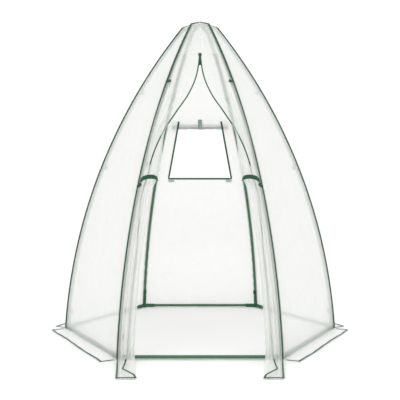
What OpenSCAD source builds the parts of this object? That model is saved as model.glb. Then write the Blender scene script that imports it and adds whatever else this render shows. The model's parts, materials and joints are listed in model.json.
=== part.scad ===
// Walk-in garden greenhouse: six curved tube ribs on a hexagonal base frame,
// a clear film cover with a zipped front doorway, a roll-up rear window and
// ground skirts. Millimetres, +Z up, standing on z = 0, the doorway faces -Y.
// The six corners are numbered 1 to 6 anticlockwise from the +X one, and a
// base rail has the number of the corner that it starts from.

/* [Overall size] */
// Length of one side of the hexagonal base, centre to centre of its corners
side_len = 900; // [860:10:940]
// Radius of the arc that every rib is bent to
rib_bend_r = 3640; // [3600:10:3700]
// Lean of a rib from the vertical at its foot, in degrees
rib_lean = 4; // [3.8:0.1:4.2]
// Height of the base rails' centre line above the ground
rail_z = 14; // [14:0.5:16]
// Height of the cover's peak
peak_z = 2093; // [2090:1:2100]

/* [Tubes] */
// Outer diameter of the base rails
rail_d = 19; // [18:0.5:20]
// Outer diameter of the rib tubes
rib_d = 16; // [15:0.5:16]
// Wall of all tubes
tube_wall = 1.2; // [1:0.1:1.5]
// Length of the inner sleeve that joins two rib sections
sleeve_len = 90; // [60:5:120]
// Length of the connector sockets
socket_len = 58; // [45:1:65]

/* [Cover] */
// Thickness of the clear film
film_t = 1; // [0.8:0.1:1.2]
// How far the cover's corner seams stand outside the rib centre lines
seam_out = 17; // [16.5:0.5:19]
// Diameter of the green piping on the seams
piping_d = 9; // [7:0.5:9.5]
// Width of a ground skirt, from its fold to its hem
skirt_w = 98; // [80:1:105]
// Length of a ground skirt along its side of the base
skirt_len = 896; // [840:2:900]

/* [Rear window] */
// Height of the window's lower edge
window_low_z = 1042; // [1000:2:1060]
// Height of the window's upper edge
window_top_z = 1462; // [1440:1:1480]
// Half width of the window at its lower edge
window_low_x = 238; // [220:1:240]
// Half width of the window at its upper edge
window_top_x = 153; // [140:1:160]
// Width of the green trim around the window
trim_w = 12; // [8:1:14]
// Diameter of the rolled-up window flap
window_roll_d = 45; // [38:1:48]
// Length of the rolled-up window flap
window_roll_len = 424; // [400:2:440]

/* [Doorway] */
// Height of the top of the door slit
slit_top_z = 1817; // [1800:1:1830]
// Height of the straps that hold the gathered flaps
strap_z = 990; // [960:5:1000]
// Radius of a gathered flap
bundle_r = 35; // [30:1:36]
// How far the flap ends reach on the ground, in front of the hexagon's centre
trail_y = 1160; // [1120:5:1180]

/* [Hidden] */

tube_green = [0.27, 0.48, 0.35];
trim_green = [0.20, 0.42, 0.29];
film_clear = [0.93, 0.95, 0.94, 0.35];

// Rib arc: its centre in the (radius, height) plane of a rib
arc_r0 = side_len - rib_bend_r * cos(rib_lean);
arc_z0 = rail_z - rib_bend_r * sin(rib_lean);
// Radius of a rib's centre line at height z, and its angle on the arc there
function rib_radius(z) = arc_r0 + sqrt(rib_bend_r ^ 2 - (z - arc_z0) ^ 2);
function rib_angle(z) = asin((z - arc_z0) / rib_bend_r);
// Distance of a wall's film from the centre axis at height z
function wall_n(z) = (rib_radius(z) + seam_out) * cos(30);
// Angle that a length takes on the rib arc
function arc_deg(len) = len / rib_bend_r * 180 / PI;
// Radius and height of the rib arc's point at angle a
function arc_x(a) = arc_r0 + rib_bend_r * cos(a);
function arc_z(a) = arc_z0 + rib_bend_r * sin(a);

// Heights: film's lower edge, shoulder where the crown starts, rib section joints
film_low_z = 6;
shoulder_z = 2045;
joint_low_z = 741;
joint_high_z = 1440;
rib_foot = rib_lean + arc_deg(24);
rib_top = rib_angle(2025);
joint_low = rib_angle(joint_low_z);
joint_high = rib_angle(joint_high_z);
elbow_z = 2034;
elbow_r = rib_radius(elbow_z);
crown_slope = 20;
gap = 0.3;

// The whole object is moved so that the middle of its box is the origin
wall_foot_n = wall_n(film_low_z);
fold_n = (side_len + seam_out) * cos(30) + 4;
rear_y = fold_n + skirt_w;
place_y = (trail_y - rear_y) / 2;
module place() translate([0, place_y, 0]) children();

// Azimuth of corner k (0 to 5), and of the side from corner k to the next
function corner_az(k) = 60 * k;
function side_az(k) = 60 * k + 30;

// ---- tubes and connectors ----

// A stretch of a ring-shaped section along the rib arc, from angle a to b
module arc_ring(a, b, ro, ri) {
    translate([arc_r0, 0, arc_z0])
        rotate([90, 0, 0])
            rotate([0, 0, a])
                rotate_extrude(angle = b - a, $fn = 720)
                    translate([rib_bend_r, 0])
                        difference() {
                            circle(r = ro, $fn = 32);
                            if (ri > 0) circle(r = ri, $fn = 32);
                        }
}

// One rib section from angle a to b, with the inner sleeve that joins the next
module rib_section(k, a, b, sleeve) {
    ro = rib_d / 2;
    ri = ro - tube_wall;
    color(tube_green) place() rotate([0, 0, corner_az(k)]) {
        arc_ring(a, b, ro, ri);
        if (sleeve)
            arc_ring(b - arc_deg(sleeve_len / 2), b + arc_deg(sleeve_len / 2),
                     ri - 0.2, ri - 0.2 - tube_wall);
    }
}

module base_rail(k) {
    end_gap = 24;
    len = side_len - 2 * end_gap;
    color(tube_green) place() rotate([0, 0, side_az(k)])
        translate([side_len * cos(30), len / 2, rail_z])
            rotate([90, 0, 0])
                difference() {
                    cylinder(d = rail_d, h = len, $fn = 48);
                    translate([0, 0, -1])
                        cylinder(d = rail_d - 2 * tube_wall, h = len + 2, $fn = 48);
                }
}

// Three-way corner connector with two rail sockets, a rib socket and a foot pad
module corner_connector(k) {
    od = 25;
    mid = 52;
    mid_a = rib_lean + arc_deg(mid);
    color(tube_green) place() rotate([0, 0, corner_az(k)])
        translate([side_len, 0, 0])
            difference() {
                union() {
                    cylinder(d = 34, h = 3, $fn = 64);
                    cylinder(d = 24, h = 2 * rail_z - 2, $fn = 64);
                    for (s = [-1, 1])
                        translate([0, 0, rail_z]) rotate([0, 90, 120 * s])
                            cylinder(d = od, h = 22 + socket_len, $fn = 64);
                    translate([arc_x(mid_a) - side_len, 0, arc_z(mid_a)])
                        rotate([0, -mid_a, 0]) translate([0, 0, -mid])
                            cylinder(d = 22, h = 22 + socket_len, $fn = 64);
                }
                for (s = [-1, 1])
                    translate([0, 0, rail_z]) rotate([0, 90, 120 * s])
                        translate([0, 0, 23])
                            cylinder(d = rail_d + 2 * gap, h = socket_len, $fn = 64);
                translate([arc_x(mid_a) - side_len, 0, arc_z(mid_a)])
                    rotate([0, -mid_a, 0]) translate([0, 0, 23 - mid])
                        cylinder(d = rib_d + 3 * gap, h = socket_len, $fn = 64);
            }
}

// Six-way hub: a boss with six arms that turn down into the rib sockets
module hub_body() {
    slope = rib_angle(elbow_z);
    color(tube_green) place() difference() {
        union() {
            translate([0, 0, elbow_z + elbow_r * tan(crown_slope) - 14])
                cylinder(d = 56, h = 16, $fn = 64);
            for (k = [0:5]) rotate([0, 0, corner_az(k)])
                translate([elbow_r, 0, elbow_z]) {
                    sphere(d = 22.4, $fn = 48);
                    rotate([0, crown_slope - 90, 0])
                        cylinder(d = 18, h = (elbow_r - 22) / cos(crown_slope), $fn = 48);
                    rotate([0, 180 - slope, 0])
                        cylinder(d = 21, h = 8 + socket_len, $fn = 48);
                }
        }
        for (k = [0:5]) rotate([0, 0, corner_az(k)])
            translate([elbow_r, 0, elbow_z]) rotate([0, 180 - slope, 0])
                translate([0, 0, 9])
                    cylinder(d = rib_d + 3 * gap, h = socket_len, $fn = 48);
    }
}

hub_top_z = elbow_z + elbow_r * tan(crown_slope) + 2;
module hub_cap() {
    color(trim_green) place() translate([0, 0, hub_top_z + 0.2]) {
        cylinder(d = 42, h = 3.5, $fn = 64);
        cylinder(d = 12, h = 6, $fn = 48);
    }
}

// Ties that hold the cover to the ribs: a band with a pressed-together tail
module rib_tie(k, z) {
    a = rib_angle(z);
    half = arc_deg(15);
    color(trim_green) place() rotate([0, 0, corner_az(k)]) {
        arc_ring(a - half, a + half, 10.6, 8.6);
        translate([rib_radius(z), 0, z]) rotate([0, -a, 0]) translate([-16.6, 0, 0])
            cube([13, 3, 28], center = true);
    }
}
module rib_ties()
    for (k = [0:5], z = [121, 1103, 1614]) rib_tie(k, z);

// ---- film cover ----

film_steps = 24;
// Side view of a film between two heights: distance from the axis, height
module film_profile(low_z, top_z, out, t) {
    function step_z(i) = low_z + (top_z - low_z) * i / film_steps;
    polygon(concat(
        [for (i = [0:film_steps]) [wall_n(step_z(i)) + out + t, step_z(i)]],
        [for (i = [film_steps:-1:0]) [wall_n(step_z(i)) + out, step_z(i)]]));
}

// A film on the side that faces azimuth az, cut edge_in short of the corner seams
module wall_film(az, low_z, top_z, out = -film_t / 2, t = film_t, edge_in = 5.5) {
    reach = side_len + 40;
    rotate([0, 0, az]) intersection() {
        translate([0, side_len / 2 + 30, 0]) rotate([90, 0, 0])
            linear_extrude(height = side_len + 60) film_profile(low_z, top_z, out, t);
        linear_extrude(height = peak_z)
            polygon([[edge_in / sin(30) , 0],
                     [reach, (reach - edge_in / sin(30)) * tan(30)],
                     [reach, -(reach - edge_in / sin(30)) * tan(30)]]);
    }
}

// Keeps what an outline in the (x, z) plane covers, on the side that faces s * Y
module front_mask(s) {
    reach = side_len + 100;
    translate([0, s > 0 ? reach : 0, 0]) rotate([90, 0, 0])
        linear_extrude(height = reach) children();
}

module wall(az) color(film_clear) place() wall_film(az, film_low_z, shoulder_z);

function window_x(z) = window_low_x
    - (window_low_x - window_top_x) * (z - window_low_z) / (window_top_z - window_low_z);
module window_outline(grow)
    polygon([[-window_x(window_low_z - grow) - grow, window_low_z - grow],
             [window_x(window_low_z - grow) + grow, window_low_z - grow],
             [window_x(window_top_z) + grow, window_top_z],
             [-window_x(window_top_z) - grow, window_top_z]]);

module wall_rear() {
    color(film_clear) place() difference() {
        wall_film(90, film_low_z, shoulder_z);
        front_mask(1) window_outline(0);
    }
}

// Trim sewn around the window's sides and lower edge, on the outside
module window_trim() {
    color(trim_green) place() intersection() {
        wall_film(90, window_low_z - 60, window_top_z + 60, film_t / 2 + 0.15, 1.4);
        front_mask(1) difference() {
            window_outline(trim_w);
            window_outline(0);
            translate([-window_top_x, window_top_z - 1])
                square([2 * window_top_x, 100]);
        }
    }
}

// Two corner tabs outside, and the fixed tape that hangs inside in front of the roll
module window_tabs() {
    color(trim_green) place() intersection() {
        wall_film(90, window_low_z - 60, window_top_z, film_t / 2 + 0.15, 1.4);
        front_mask(1) for (s = [-1, 1])
            translate([s * (window_low_x - 20), window_low_z - trim_w - 11.5])
                square([45, 20], center = true);
    }
    color(trim_green) place() intersection() {
        wall_film(90, roll_z - 24, window_top_z + 14, -film_t / 2 - 2.1, 1.5);
        front_mask(1) translate([-15, roll_z - 60]) square([30, 150]);
    }
}

// The rolled flap's axis, and how far its way down leans out from the vertical
roll_z = 1429;
slide_lean = 21.4;
roll_n = wall_n(1420) + (window_roll_d / 2 + 8) * cos(slide_lean);

// Extrudes a side view, drawn as (distance from the axis, height), along X
module across(wide) translate([-wide / 2, 0, 0]) rotate([90, 0, 90])
    linear_extrude(height = wide) children();

module window_roll()
    color(film_clear) place() across(window_roll_len)
        translate([roll_n, roll_z]) difference() {
            circle(d = window_roll_d, $fn = 64);
            circle(d = window_roll_d - 8, $fn = 64);
        }

// Tie: down the wall from above the window, out over the roll and down outside it
module window_tie() {
    near = window_roll_d / 2 + 2;
    far = near + 2;
    color(trim_green) place() across(30)
        translate([roll_n, roll_z]) rotate(slide_lean)
            polygon([[-far - 2, near], [near, near], [near, -14], [far, -14],
                     [far, far], [-far, far], [-far, 50], [-far - 2, 50]]);
}

module wall_front_top()
    color(film_clear) place() wall_film(270, slit_top_z + 1, shoulder_z);

// Half of the film above a strap, between the rib's seam and the flap's free edge
module door_shoulder(s) {
    low = strap_z + 24;
    color(film_clear) place() intersection() {
        wall_film(270, low, slit_top_z);
        front_mask(-1) polygon([
            [s * 1, slit_top_z + 1], [s * 10, 1727], [s * 31, 1630], [s * 77, 1522],
            [s * 140, 1418], [s * 202, 1310], [s * 266, 1169], [s * 302, low - 1],
            [s * 460, low - 1], [s * 460, slit_top_z + 1]]);
    }
}

// The crown: six flat gores from the shoulder up to the peak
module crown_cover() {
    n = wall_n(shoulder_z);
    color(film_clear) place() for (k = [0:5]) rotate([0, 0, side_az(k)])
        intersection() {
            translate([0, 150, 0]) rotate([90, 0, 0]) linear_extrude(height = 300)
                polygon([[0, peak_z], [n, shoulder_z + 1], [n, shoulder_z + 0.2],
                         [n - 2, shoulder_z + 0.2], [0, peak_z - 1.2]]);
            linear_extrude(height = peak_z)
                polygon([[0, 0], [300, 300 * tan(30)], [300, -300 * tan(30)]]);
        }
}

// Piping along the six corner seams
module seam_piping() {
    color(trim_green) place() for (k = [0:5]) rotate([0, 0, corner_az(k)])
        translate([arc_r0, 0, arc_z0]) rotate([90, 0, 0]) rotate([0, 0, rib_lean - 0.02])
            rotate_extrude(angle = rib_angle(shoulder_z) - rib_lean, $fn = 720)
                translate([rib_bend_r + seam_out + 2.5, 0]) circle(d = piping_d, $fn = 24);
}

// ---- doorway ----

// Azimuth, from the front, of the upright plane that a gathered flap hangs in
bundle_az = 25.9;
bundle_out = 22;
bundle_low_z = 72;
ground_t = 12;
ground_gap = 1.5;
fold_t = 3.5;

// A stretch of the gathered flap along the rib arc, between two heights
module bundle_arc(low_z, top_z, r, r_in = 0) {
    a = rib_angle(low_z);
    b = rib_angle(top_z);
    translate([arc_r0, 0, arc_z0]) rotate([90, 0, 0]) rotate([0, 0, a])
        rotate_extrude(angle = b - a, $fn = 720)
            translate([rib_bend_r + bundle_out, 0]) difference() {
                circle(r = r, $fn = 32);
                if (r_in > 0) circle(r = r_in, $fn = 32);
            }
}

// A gathered flap: it hangs from the strap and its end lies on the ground
module door_roll(s) {
    low_n = wall_foot_n + 8;
    color(film_clear) place() {
        rotate([0, 0, -90 + s * bundle_az])
            bundle_arc(bundle_low_z, strap_z + 18, bundle_r, bundle_r - fold_t);
        translate([0, 0, ground_gap]) union() {
            translate([s * 403 - 34, -(low_n + 66), 0])
                cube([68, 62, bundle_low_z - 16]);
            linear_extrude(height = ground_t)
                polygon([[s * 440, -low_n], [s * 362, -low_n],
                         [s * 318, -trail_y], [s * 418, -(trail_y - 24)]]);
        }
    }
}

// Webbing strap around the front of a gathered flap, with its toggle
module door_strap(s) {
    r = rib_radius(strap_z) + bundle_out;
    color(trim_green) place() rotate([0, 0, -90 + s * bundle_az]) {
        intersection() {
            bundle_arc(strap_z - 10, strap_z + 10, bundle_r + 3, bundle_r + 0.8);
            translate([r, -60, strap_z - 60]) cube([90, 120, 120]);
        }
        translate([r - 2, s * (bundle_r + 6), strap_z - 12])
            cylinder(d = 8, h = 24, $fn = 32);
    }
}

// ---- zip ----

module zip_stop_patch() {
    color(trim_green) place() intersection() {
        wall_film(270, slit_top_z + 3, slit_top_z + 33, film_t / 2, 1.2);
        front_mask(-1) translate([-13, slit_top_z]) square([26, 40]);
    }
}

zip_tilt = 30;
zip_z = slit_top_z - 14;
zip_n = wall_n(zip_z) + film_t / 2;
module zip_slider() {
    color(trim_green) place() translate([0, -zip_n - 1.6, zip_z]) rotate([-zip_tilt, 0, 0])
        difference() {
            union() {
                translate([-8, -4.5, -14]) cube([16, 5, 26]);
                translate([-2.5, -11, -6]) cube([5, 7, 16]);
            }
            translate([-5, -8, -2]) rotate([0, 90, 0])
                cylinder(d = 3.2, h = 10, $fn = 32);
        }
}

// Pull tab that hangs from the slider's bridge, on its own cross pin
module zip_pull() {
    color(trim_green) place() translate([0, -zip_n - 1.6, zip_z]) rotate([-zip_tilt, 0, 0]) {
        difference() {
            translate([-6, -9.2, -50]) cube([12, 2.4, 50.4]);
            translate([-3.2, -12, -9]) cube([6.4, 8, 18]);
        }
        translate([-6, -8, -2]) rotate([0, 90, 0]) cylinder(d = 3, h = 12, $fn = 32);
    }
}

// ---- ground skirts ----

// A skirt lies on the ground from its fold at the wall's foot to its hem
module skirt(az) {
    hem_w = 10;
    color(film_clear) place() rotate([0, 0, az]) {
        translate([fold_n, -skirt_len / 2, 0]) cube([skirt_w - hem_w, skirt_len, 1]);
        translate([fold_n + skirt_w - hem_w, -skirt_len / 2, 0]) cube([hem_w, skirt_len, 2.5]);
    }
}

for (k = [0:5]) {
    corner_connector(k);
    base_rail(k);
    rib_section(k, rib_foot, joint_low, true);
    rib_section(k, joint_low + 0.01, joint_high, true);
    rib_section(k, joint_high + 0.01, rib_top, false);
}
hub_body();
hub_cap();
rib_ties();
wall(210);  // wall_front_left
wall(150);  // wall_rear_left
wall_rear();
wall(30);  // wall_rear_right
wall(330);  // wall_front_right
wall_front_top();
door_shoulder(-1);  // door_shoulder_left
door_shoulder(1);  // door_shoulder_right
crown_cover();
seam_piping();
window_trim();
window_tabs();
window_roll();
window_tie();
door_roll(-1);  // door_roll_left
door_roll(1);  // door_roll_right
door_strap(-1);  // door_strap_left
door_strap(1);  // door_strap_right
zip_stop_patch();
zip_slider();
zip_pull();
skirt(210);  // skirt_front_left
skirt(150);  // skirt_rear_left
skirt(90);  // skirt_rear
skirt(30);  // skirt_rear_right
skirt(330);  // skirt_front_right
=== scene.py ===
"""Looks of a walk-in garden greenhouse: green tube frame, clear film cover, zipped
doorway tied back, roll-up rear window and ground skirts. Metres, +Z up, the doorway
faces -Y. Every film is one surface, so that light passes each layer only once."""

import json
import math

import bmesh
import bpy
import numpy as np
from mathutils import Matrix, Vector


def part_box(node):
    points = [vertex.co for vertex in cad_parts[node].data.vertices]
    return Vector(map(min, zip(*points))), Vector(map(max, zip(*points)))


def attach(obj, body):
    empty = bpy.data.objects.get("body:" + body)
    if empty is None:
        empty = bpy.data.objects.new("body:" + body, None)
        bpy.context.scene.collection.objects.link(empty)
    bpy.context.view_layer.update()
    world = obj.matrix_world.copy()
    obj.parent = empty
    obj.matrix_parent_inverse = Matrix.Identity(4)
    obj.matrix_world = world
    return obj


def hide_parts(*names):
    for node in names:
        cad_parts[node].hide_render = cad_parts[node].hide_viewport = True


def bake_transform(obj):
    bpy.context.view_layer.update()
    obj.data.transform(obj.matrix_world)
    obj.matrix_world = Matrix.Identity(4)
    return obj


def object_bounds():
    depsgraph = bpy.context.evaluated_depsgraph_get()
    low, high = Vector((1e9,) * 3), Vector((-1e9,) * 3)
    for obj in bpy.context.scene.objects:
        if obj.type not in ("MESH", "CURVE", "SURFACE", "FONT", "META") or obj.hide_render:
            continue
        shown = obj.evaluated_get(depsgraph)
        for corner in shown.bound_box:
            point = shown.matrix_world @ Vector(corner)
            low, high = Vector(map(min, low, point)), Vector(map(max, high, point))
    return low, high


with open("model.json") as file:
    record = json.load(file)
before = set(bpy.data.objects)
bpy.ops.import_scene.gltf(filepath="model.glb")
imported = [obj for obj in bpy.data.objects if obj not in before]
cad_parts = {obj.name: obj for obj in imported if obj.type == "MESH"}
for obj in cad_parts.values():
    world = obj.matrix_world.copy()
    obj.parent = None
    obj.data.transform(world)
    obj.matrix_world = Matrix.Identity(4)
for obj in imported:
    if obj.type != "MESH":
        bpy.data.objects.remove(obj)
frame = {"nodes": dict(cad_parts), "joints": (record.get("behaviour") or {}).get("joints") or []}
CAD_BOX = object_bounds()

bl_info = {
    "name": "Garden greenhouse",
    "version": (1, 0, 0),
    "blender": (4, 5, 0),
    "location": "3D View > Sidebar > Greenhouse",
    "description": "Builds the film cover, trims and stage around the greenhouse frame",
    "category": "Add Mesh",
}

# ---- driving dimensions, in metres -------------------------------------------------

SIDE = 0.900
RIB_BEND_R = 3.640
RIB_LEAN = math.radians(4)
RAIL_Z = 0.014
SEAM_OUT = 0.017
PIPING_OUT = 0.0195
PIPING_R = 0.0045
SHOULDER_Z = 2.045
PEAK_Z = float(CAD_BOX[1][2])
SLIT_TOP_Z = 1.817
STRAP_Z = 0.990
WINDOW_LOW_Z, WINDOW_TOP_Z = 1.042, 1.462
WINDOW_LOW_X, WINDOW_TOP_X = 0.238, 0.153
FRONT, REAR = math.radians(270), math.radians(90)
UP = (0.0, 0.0, 1.0)
# Flat cut of a whole wall, and the length, width and height of a stitch in webbing.
WALL_FLAT = (0.92, 2.26)
STITCH = (0.0036, 0.0011, 0.0006)
TAN30 = math.tan(math.radians(30))
COS30 = math.cos(math.radians(30))
ARC_R0 = SIDE - RIB_BEND_R * math.cos(RIB_LEAN)
ARC_Z0 = RAIL_Z - RIB_BEND_R * math.sin(RIB_LEAN)
AXIS_Y = float((np.array(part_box("hub_cap")).mean(axis=0))[1])
FOLD_N = (SIDE + SEAM_OUT) * COS30 + 0.004
SKIRT_BOX = np.array(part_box("skirt_rear"))
SKIRT_W = float(SKIRT_BOX[1][1] - SKIRT_BOX[0][1])
SKIRT_HALF = float(SKIRT_BOX[1][0])
FILM_FOOT_Z = 0.003
# Distance from the middle plane, by height, of a door flap's zip edge and of the fold
# in which it turns back on itself from above the strap downwards.
ZIP_EDGE = ((0.03, 0.403), (0.40, 0.378), (0.61, 0.358), (0.96, 0.328), (1.04, 0.304),
            (1.17, 0.266), (1.31, 0.202), (1.42, 0.140), (1.52, 0.077), (1.63, 0.031),
            (1.73, 0.010), (SLIT_TOP_Z, 0.002))
INNER_FOLD = ((0.03, 0.364), (0.61, 0.323), (0.75, 0.303), (0.88, 0.283), (0.965, 0.264),
              (1.01, 0.243), (1.10, 0.226), (1.20, 0.220), *ZIP_EDGE[6:])
CORNERS = [math.radians(60 * k) for k in range(6)]
WALLS = {
    "wall_front_left": math.radians(210),
    "wall_rear_left": math.radians(150),
    "wall_rear_right": math.radians(30),
    "wall_front_right": math.radians(330),
}
SKIRTS = {
    "skirt_front_left": math.radians(210),
    "skirt_rear_left": math.radians(150),
    "skirt_rear": math.radians(90),
    "skirt_rear_right": math.radians(30),
    "skirt_front_right": math.radians(330),
}


def rib_radius(z):
    """Distance of a rib's centre line from the middle axis: a circular arc in height."""
    return ARC_R0 + np.sqrt(RIB_BEND_R**2 - (z - ARC_Z0) ** 2)


def wall_n(z):
    """Distance of a wall's film from the middle axis, across the flats of the hexagon."""
    return (rib_radius(z) + SEAM_OUT) * COS30


def on_side(azimuth, n, t, z):
    """Points given as distance n from the axis, t along a side facing azimuth, height z."""
    n, t, z = np.broadcast_arrays(np.asarray(n, float), t, z)
    x = n * math.cos(azimuth) - t * math.sin(azimuth)
    y = n * math.sin(azimuth) + t * math.cos(azimuth) + AXIS_Y
    return np.stack([x, y, z], axis=-1)


def turned(azimuth, n, t, z):
    """The same turn as on_side, for directions, which stay where the axis is."""
    return on_side(azimuth, n, t, z) - np.array([0, AXIS_Y, 0])


def smooth(x):
    """Smoothstep of x between 0 and 1."""
    x = np.clip(x, 0, 1)
    return x * x * (3 - 2 * x)


def knots(x, pairs):
    """A smooth curve through (x, y) pairs: cubic pieces with averaged slopes."""
    px, py = np.array(pairs, float).T
    slope = np.gradient(py, px)
    x = np.clip(x, px[0], px[-1])
    i = np.clip(np.searchsorted(px, x, side="right") - 1, 0, len(px) - 2)
    span = px[i + 1] - px[i]
    t = (x - px[i]) / span
    return (py[i] * (1 + 2 * t) * (1 - t) ** 2 + py[i + 1] * t**2 * (3 - 2 * t)
            + slope[i] * span * t * (1 - t) ** 2 - slope[i + 1] * span * t**2 * (1 - t))


def unit(v):
    """Vectors along the last axis, made one long."""
    return v / np.maximum(np.linalg.norm(v, axis=-1, keepdims=True), 1e-12)


# ---- meshes ------------------------------------------------------------------------


def grid_faces(rows, cols, wrap=False):
    """Quads of a grid of rows by cols points; wrap closes it across its columns."""
    index = np.arange(rows * cols).reshape(rows, cols)
    if wrap:
        index = np.concatenate([index, index[:, :1]], axis=1)
    a, b = index[:-1, :-1], index[:-1, 1:]
    c, d = index[1:, 1:], index[1:, :-1]
    return np.stack([a, b, c, d], axis=-1).reshape(-1, 4)


def make_piece(name, points, faces, material, uv=None, caps=()):
    """A mesh object from points (n, 3), quads (m, 4), one uv per point, and cap rings."""
    points = np.asarray(points, float).reshape(-1, 3)
    mesh = bpy.data.meshes.new(name)
    every = [tuple(f) for f in np.asarray(faces).tolist()] + [tuple(c) for c in caps]
    mesh.from_pydata(points.tolist(), [], every)
    mesh.polygons.foreach_set("use_smooth", np.ones(len(every), bool))
    if uv is not None:
        layer = mesh.uv_layers.new(name="UVMap")
        corner = np.zeros(len(mesh.loops), int)
        mesh.loops.foreach_get("vertex_index", corner)
        flat_uv = np.asarray(uv, float).reshape(-1, 2)[corner]
        layer.data.foreach_set("uv", flat_uv.ravel())
    mesh.materials.append(material)
    mesh.update()
    piece = bpy.data.objects.new(name, mesh)
    bpy.context.scene.collection.objects.link(piece)
    return piece


def lengths_along(path):
    """Distance along a path of points, from its first one."""
    steps = np.linalg.norm(np.diff(path, axis=0), axis=-1)
    return np.concatenate([[0], np.cumsum(steps)])


def sheet_piece(name, points, material):
    """An open film or cloth on a grid of points (rows, cols, 3), uv in metres."""
    rows, cols = points.shape[:2]
    u = np.linalg.norm(np.diff(points, axis=1), axis=-1)
    u = np.concatenate([np.zeros((rows, 1)), np.cumsum(u, axis=1)], axis=1)
    u -= u[:, -1:] / 2
    v = lengths_along(points[:, cols // 2])[:, None] + np.zeros((1, cols))
    piece = make_piece(name, points, grid_faces(rows, cols), material, np.stack([u, v], -1))
    return piece


def area_of(points):
    """Area of a grid of points, as the sum of its quads."""
    a, b = points[:-1, :-1], points[:-1, 1:]
    c, d = points[1:, 1:], points[1:, :-1]
    return float(np.linalg.norm(np.cross(c - a, d - b), axis=-1).sum() / 2)


def ring_profile(radius, sides=12, squash=1.0):
    """A closed round profile, as (across, out) pairs; squash flattens it."""
    angle = np.linspace(0, 2 * math.pi, sides, endpoint=False)
    return np.stack([radius * np.cos(angle), radius * squash * np.sin(angle)], -1)


def band_profile(width, thick):
    """A flat band's closed profile with eased edges."""
    w, t, e = width / 2, thick / 2, min(width, thick) * 0.3
    return np.array([[-w + e, -t], [w - e, -t], [w, -t + e], [w, t - e],
                     [w - e, t], [-w + e, t], [-w, t - e], [-w, -t + e]])


def sweep_arrays(path, across, out, profile, loop=False):
    """A profile carried along a path: each ring is path + x * across + y * out."""
    path = np.asarray(path, float)
    rings = (path[:, None] + profile[None, :, :1] * across[:, None]
             + profile[None, :, 1:] * out[:, None])
    rows, cols = rings.shape[:2]
    faces = grid_faces(rows, cols, wrap=True)
    if loop:
        last = (rows - 1) * cols
        ring = np.arange(cols)
        nxt = np.roll(ring, -1)
        join = np.stack([last + ring, last + nxt, nxt, ring], -1)
        faces = np.concatenate([faces, join])
        caps = []
    else:
        caps = [list(range(cols))[::-1], [(rows - 1) * cols + i for i in range(cols)]]
    edge = np.linalg.norm(np.diff(np.vstack([profile, profile[:1]]), axis=0), axis=-1)
    u = np.concatenate([[0], np.cumsum(edge)])[:-1]
    v = lengths_along(path)
    uv = np.stack(np.broadcast_arrays(u[None, :], v[:, None]), -1)
    return rings.reshape(-1, 3), faces, uv.reshape(-1, 2), caps


def join_arrays(parts):
    """Several (points, faces, uv, caps) put together as one."""
    points, faces, uvs, caps, start = [], [], [], [], 0
    for p, f, uv, c in parts:
        points.append(p)
        faces.append(np.asarray(f) + start)
        uvs.append(uv)
        caps += [[i + start for i in ring] for ring in c]
        start += len(p)
    return np.vstack(points), np.vstack(faces), np.vstack(uvs), caps


def solid_piece(name, parts, material):
    """One closed piece from swept parts, with its faces turned outwards."""
    points, faces, uv, caps = join_arrays(parts)
    piece = make_piece(name, points, faces, material, uv, caps)
    face_out(piece)
    return piece


def face_out(piece):
    """Makes every closed shell of a piece point outwards."""
    mesh = bmesh.new()
    mesh.from_mesh(piece.data)
    bmesh.ops.remove_doubles(mesh, verts=mesh.verts, dist=1e-7)
    bmesh.ops.recalc_face_normals(mesh, faces=mesh.faces)
    mesh.to_mesh(piece.data)
    mesh.free()


def sweep_frame(path, toward):
    """For a path and a rough out direction, the across and out unit vectors."""
    tangent = unit(np.gradient(path, axis=0))
    across = unit(np.cross(tangent, toward))
    return across, unit(np.cross(across, tangent))


def studs(path, across, out, pitch, size, lift=0.0, slant=0.0):
    """Rows of small raised bars along a path: length, width and height in size.

    Bar centres are spaced by pitch on the path; each is an eight-point box whose top
    is narrowed, and slant leans it across the path."""
    along = lengths_along(path)
    at = np.arange(pitch / 2, along[-1], pitch)
    spot = np.stack([np.interp(at, along, path[:, i]) for i in range(3)], -1)
    side = unit(np.stack([np.interp(at, along, across[:, i]) for i in range(3)], -1))
    up = unit(np.stack([np.interp(at, along, out[:, i]) for i in range(3)], -1))
    run = unit(np.cross(side, up))
    length, width, height = size
    corner = np.array([[-1, -1], [1, -1], [1, 1], [-1, 1]], float)
    rings = []
    for level, shrink in ((0.0, 1.0), (height, 0.7)):
        run_part = corner[:, 0] * length / 2 * shrink
        side_part = corner[:, 1] * width / 2 * shrink + corner[:, 0] * slant
        rings.append(spot[:, None] + run[:, None] * run_part[None, :, None]
                     + side[:, None] * side_part[None, :, None]
                     + up[:, None] * (lift + level))
    points = np.stack(rings, 1)
    count = len(at)
    base = np.arange(count)[:, None] * 8
    i = np.arange(4)
    j = (i + 1) % 4
    walls = np.stack([i, j, j + 4, i + 4], -1)
    lids = np.array([[3, 2, 1, 0], [4, 5, 6, 7]])
    faces = (base[:, :, None] + np.vstack([walls, lids])[None]).reshape(-1, 4)
    uv = np.zeros((count * 8, 2))
    return points.reshape(-1, 3), faces, uv, []


# ---- materials ---------------------------------------------------------------------


class Wire:
    """An output socket that takes part in sums, so shader maths reads as Python."""

    def __init__(self, maker, socket):
        self.maker, self.socket = maker, socket

    def _math(self, operation, a, b=None):
        values = {0: a} if b is None else {0: a, 1: b}
        return self.maker.add("ShaderNodeMath", {"operation": operation}, values)

    def __add__(self, other):
        return self._math("ADD", self, other)

    def __mul__(self, other):
        return self._math("MULTIPLY", self, other)


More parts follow.
